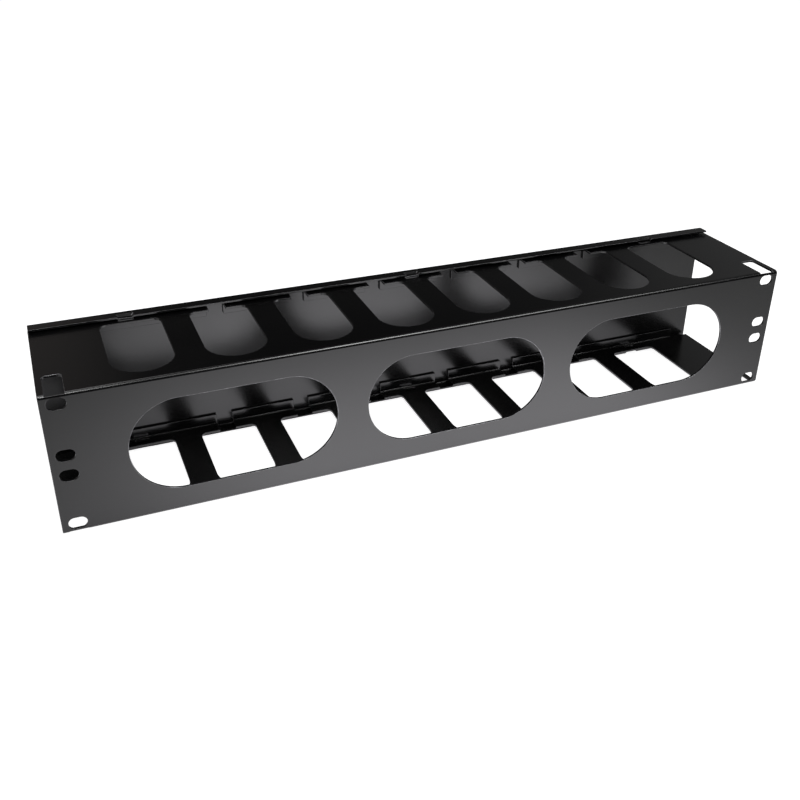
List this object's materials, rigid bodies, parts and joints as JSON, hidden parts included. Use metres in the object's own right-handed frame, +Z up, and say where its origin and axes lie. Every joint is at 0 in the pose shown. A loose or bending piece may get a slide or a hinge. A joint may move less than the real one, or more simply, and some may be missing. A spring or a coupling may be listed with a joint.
{
  "type": "horizontal cable manager",
  "caption": "Rack-mount horizontal cable manager: folded sheet channel with obround cable openings, slotted finger flanges and a front cover that presses on.",
  "frame": {"origin": "middle of the mounting face, which bears on the rack's rails", "axes": "+X along the rack's width, +Y from the mounting face towards the front cover, +Z up"},
  "size_m": [0.4826, 0.0875, 0.0932],
  "materials": {
    "powder_coat": "satin black powder coat"
  },
  "bodies": {
    "channel": {"base_channel": "powder_coat"},
    "cover": {"front_cover": "powder_coat"}
  },
  "joints": [
    {"name": "cover_pull", "type": "slide", "parent": "channel", "child": "cover", "axis": [0, 1, 0], "range_m": [0, 0.03]}
  ]
}
